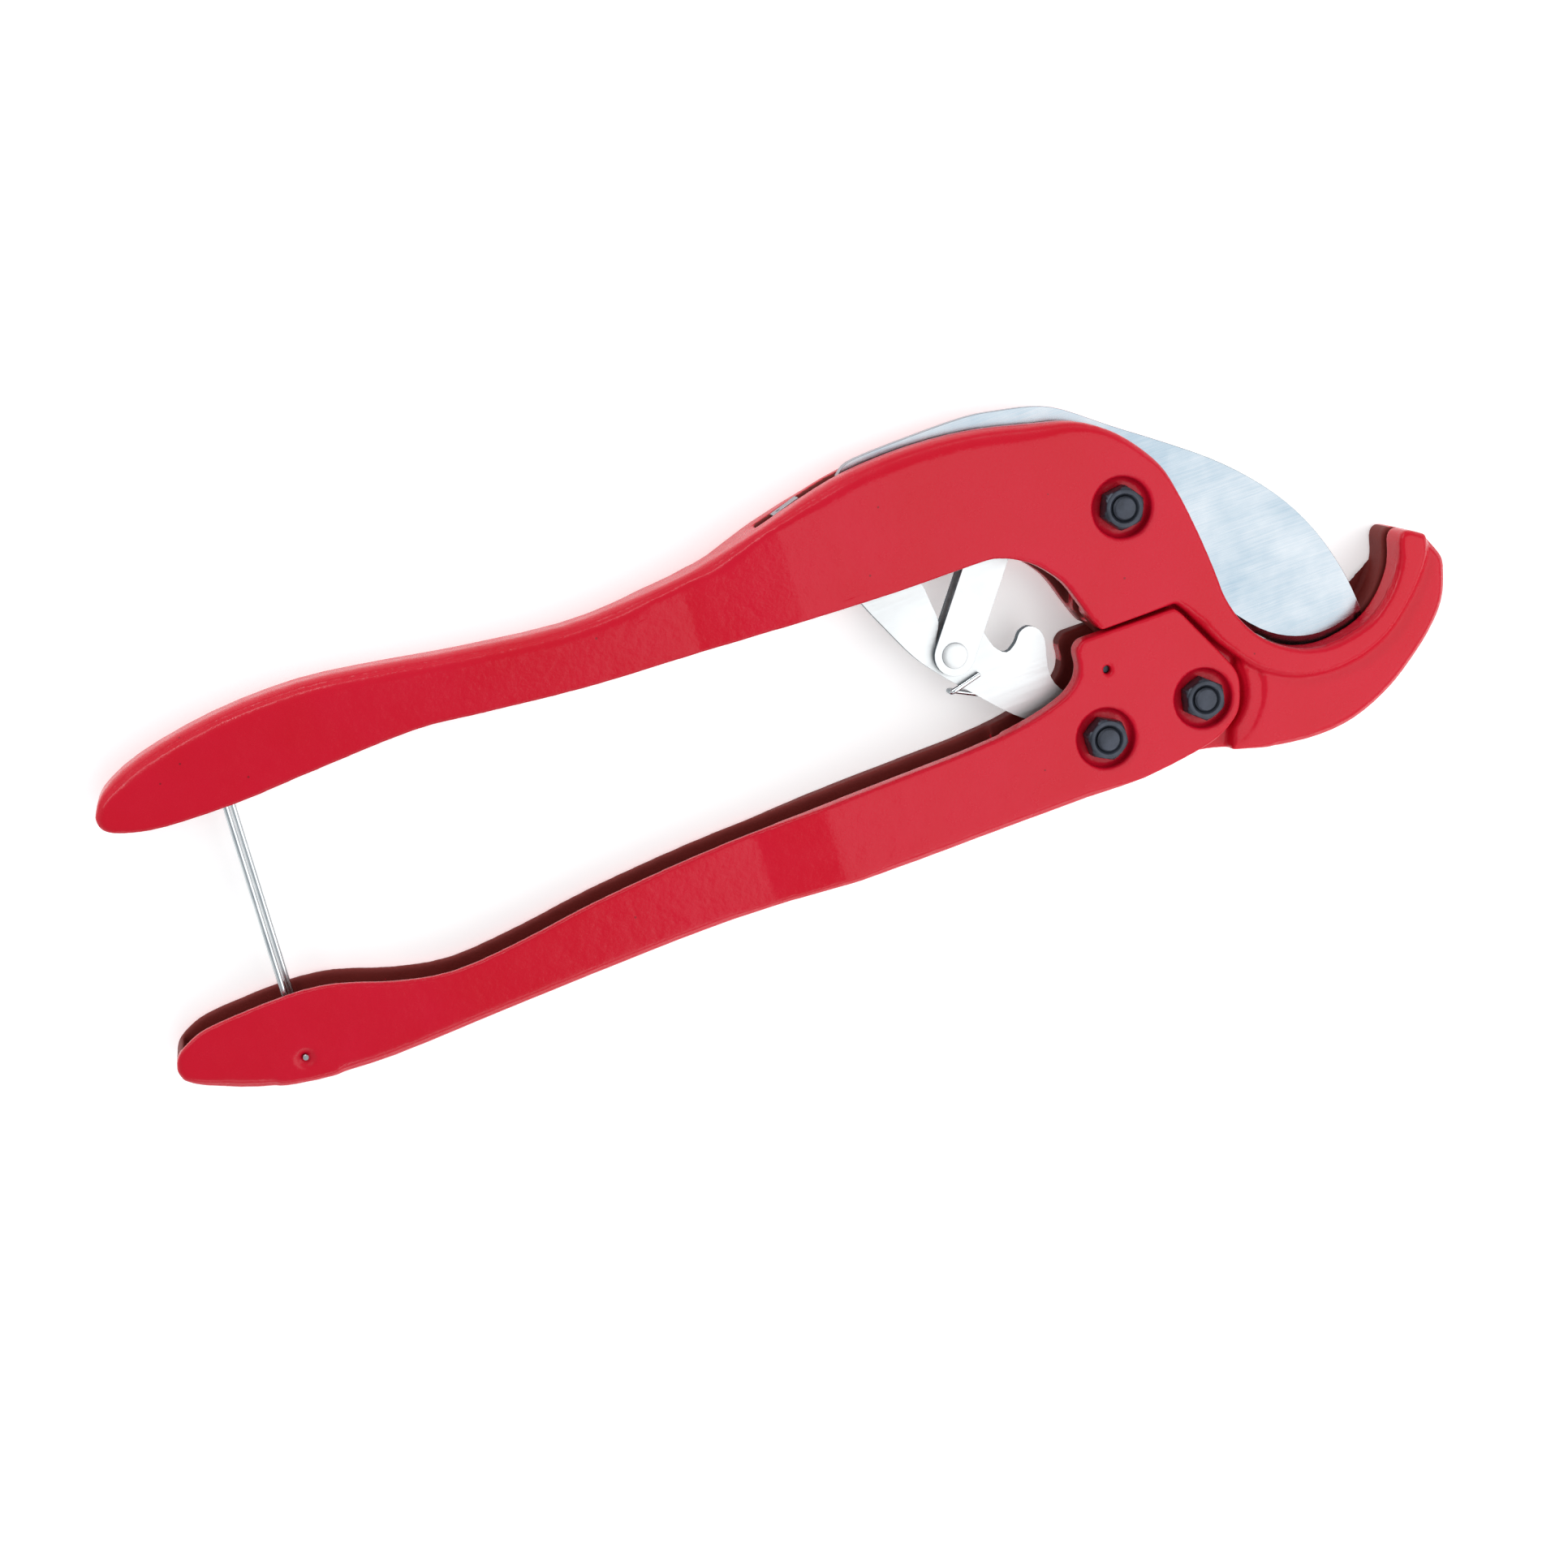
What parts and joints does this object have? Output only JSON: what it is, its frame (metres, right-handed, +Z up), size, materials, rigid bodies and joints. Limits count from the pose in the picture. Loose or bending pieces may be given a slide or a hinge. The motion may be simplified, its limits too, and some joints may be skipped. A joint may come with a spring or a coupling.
{
  "type": "pipe cutter",
  "caption": "Two-handed ratchet shears for plastic pipe up to 63 mm, with a hooked jaw, a curved pivoting blade, channel handles and a wire latch.",
  "frame": {"origin": "centre of the whole tool's bounding box in X and Y, on the flat face it lies on", "axes": "+X from the handle ends towards the jaw, +Y from the moving handle towards the fixed handle, +Z up through the thickness, along all the pivots"},
  "size_m": [0.4541, 0.1421, 0.0311],
  "materials": {
    "red_coat": "glossy red powder coat on a die-cast body",
    "blade_steel": "finely ground and polished tool steel",
    "plate_steel": "bright nickel-plated sheet steel",
    "bright_zinc": "bright zinc-plated steel",
    "black_oxide": "blue-black oxide on steel, satin",
    "spring_wire": "bright drawn spring wire"
  },
  "bodies": {
    "frame": {"fixed_body": "red_coat", "blade_bush": "bright_zinc", "blade_shims": "bright_zinc", "blade_bolt": "black_oxide", "blade_nut": "black_oxide", "slot_clip": "bright_zinc", "latch_catch": "bright_zinc"},
    "moving_handle": {"moving_handle": "red_coat", "handle_bush": "bright_zinc", "handle_bolt": "black_oxide", "handle_nut": "black_oxide", "ratchet_bush": "bright_zinc", "ratchet_spacer": "bright_zinc", "ratchet_bolt": "black_oxide", "ratchet_nut": "black_oxide", "spring_anchor_pin": "black_oxide"},
    "blade": {"blade": "blade_steel", "tail_pin_rivet": "plate_steel"},
    "ratchet_plate": {"ratchet_plate": "plate_steel", "ratchet_spring": "spring_wire"},
    "link": {"link_arm_far": "plate_steel", "link_arm_near": "plate_steel", "notch_pin_rivet": "plate_steel", "notch_roller": "plate_steel"},
    "latch": {"latch_bail": "spring_wire"}
  },
  "joints": [
    {"name": "handle_hinge", "type": "hinge", "parent": "frame", "child": "moving_handle", "pos_m": [0.1307, -0.0431, 0.014], "axis": [0, 0, 1], "range_deg": [0, 36]},
    {"name": "blade_hinge", "type": "hinge", "parent": "frame", "child": "blade", "pos_m": [0.1217, 0.0274, 0.014], "axis": [0, 0, 1], "range_deg": [0, 60]},
    {"name": "ratchet_hinge", "type": "hinge", "parent": "moving_handle", "child": "ratchet_plate", "pos_m": [0.0947, -0.0446, 0.014], "axis": [0, 0, 1], "range_deg": [-6, 0]},
    {"name": "link_hinge", "type": "hinge", "parent": "blade", "child": "link", "pos_m": [0.0887, 0.0424, 0.014], "axis": [0, 0, 1], "range_deg": [-70, 0]},
    {"name": "latch_hinge", "type": "hinge", "parent": "moving_handle", "child": "latch", "pos_m": [-0.1878, -0.0536, 0.014], "axis": [0, 0, 1], "range_deg": [-84, 3]}
  ],
  "couplings": [
    {"joint": "blade_hinge", "follows": "handle_hinge", "ratio": 1.6667},
    {"joint": "ratchet_hinge", "follows": "handle_hinge", "ratio": -0.16667},
    {"joint": "link_hinge", "follows": "handle_hinge", "ratio": -1.9444}
  ]
}
